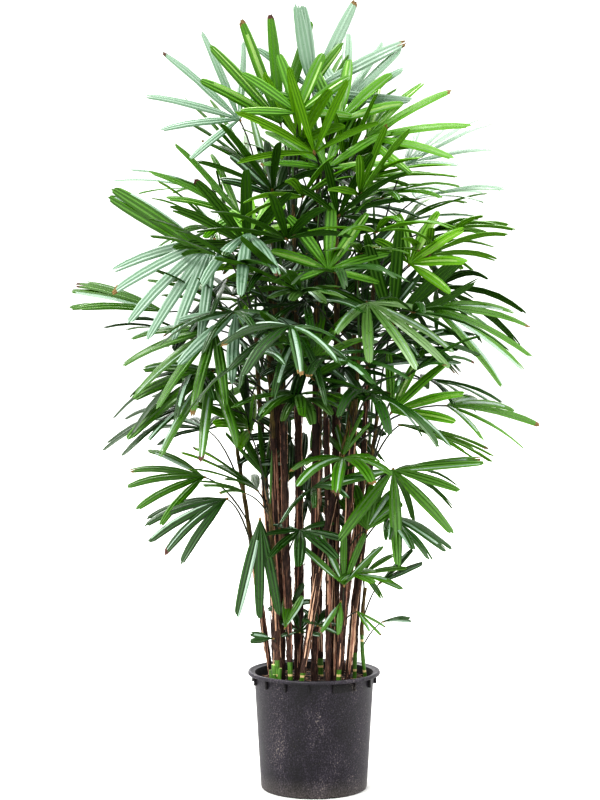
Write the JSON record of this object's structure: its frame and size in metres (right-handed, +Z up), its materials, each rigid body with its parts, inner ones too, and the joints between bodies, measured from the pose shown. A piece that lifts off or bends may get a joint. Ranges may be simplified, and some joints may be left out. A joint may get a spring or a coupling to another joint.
{
  "type": "potted lady palm",
  "caption": "Lady palm in a round black nursery pot: a clump of slender fibre-clad canes with fans of strap leaflets",
  "frame": {"origin": "middle of the pot's flat underside, on the floor it stands on", "axes": "+Z up through the pot and the clump; the clump's broad face looks towards -Y, and +X is to its right"},
  "size_m": [1.2152, 1.1062, 2.036],
  "materials": {
    "pot": "satin",
    "soil": "matte",
    "cane": "matte",
    "frond": "satin"
  },
  "bodies": {
    "root": {"pot": "pot", "soil": "soil", "cane_01": "cane", "cane_02": "cane", "cane_03": "cane", "cane_04": "cane", "cane_05": "cane", "cane_06": "cane", "cane_07": "cane", "cane_08": "cane", "cane_09": "cane", "cane_10": "cane", "cane_11": "cane", "cane_12": "cane", "cane_13": "cane", "cane_14": "cane", "cane_15": "cane", "cane_16": "cane", "cane_17": "cane", "cane_18": "cane", "cane_19": "cane", "cane_20": "cane", "cane_21": "cane", "fronds_01_low": "frond", "fronds_01_top": "frond", "fronds_02_low": "frond", "fronds_02_top": "frond", "fronds_03_low": "frond", "fronds_03_top": "frond", "fronds_04_top": "frond", "fronds_05_top": "frond", "fronds_06_low": "frond", "fronds_06_top": "frond", "fronds_07_top": "frond", "fronds_08_low": "frond", "fronds_08_top": "frond", "fronds_09_top": "frond", "fronds_10_low": "frond", "fronds_10_top": "frond", "fronds_11_top": "frond", "fronds_12_top": "frond", "fronds_13_top": "frond", "fronds_14_low": "frond", "fronds_14_top": "frond", "fronds_15_top": "frond", "fronds_16_low": "frond", "fronds_16_top": "frond", "fronds_17_low": "frond", "fronds_17_top": "frond", "fronds_18_low": "frond", "fronds_18_top": "frond", "fronds_19_top": "frond", "fronds_20_top": "frond", "fronds_21_top": "frond"}
  },
  "joints": []
}
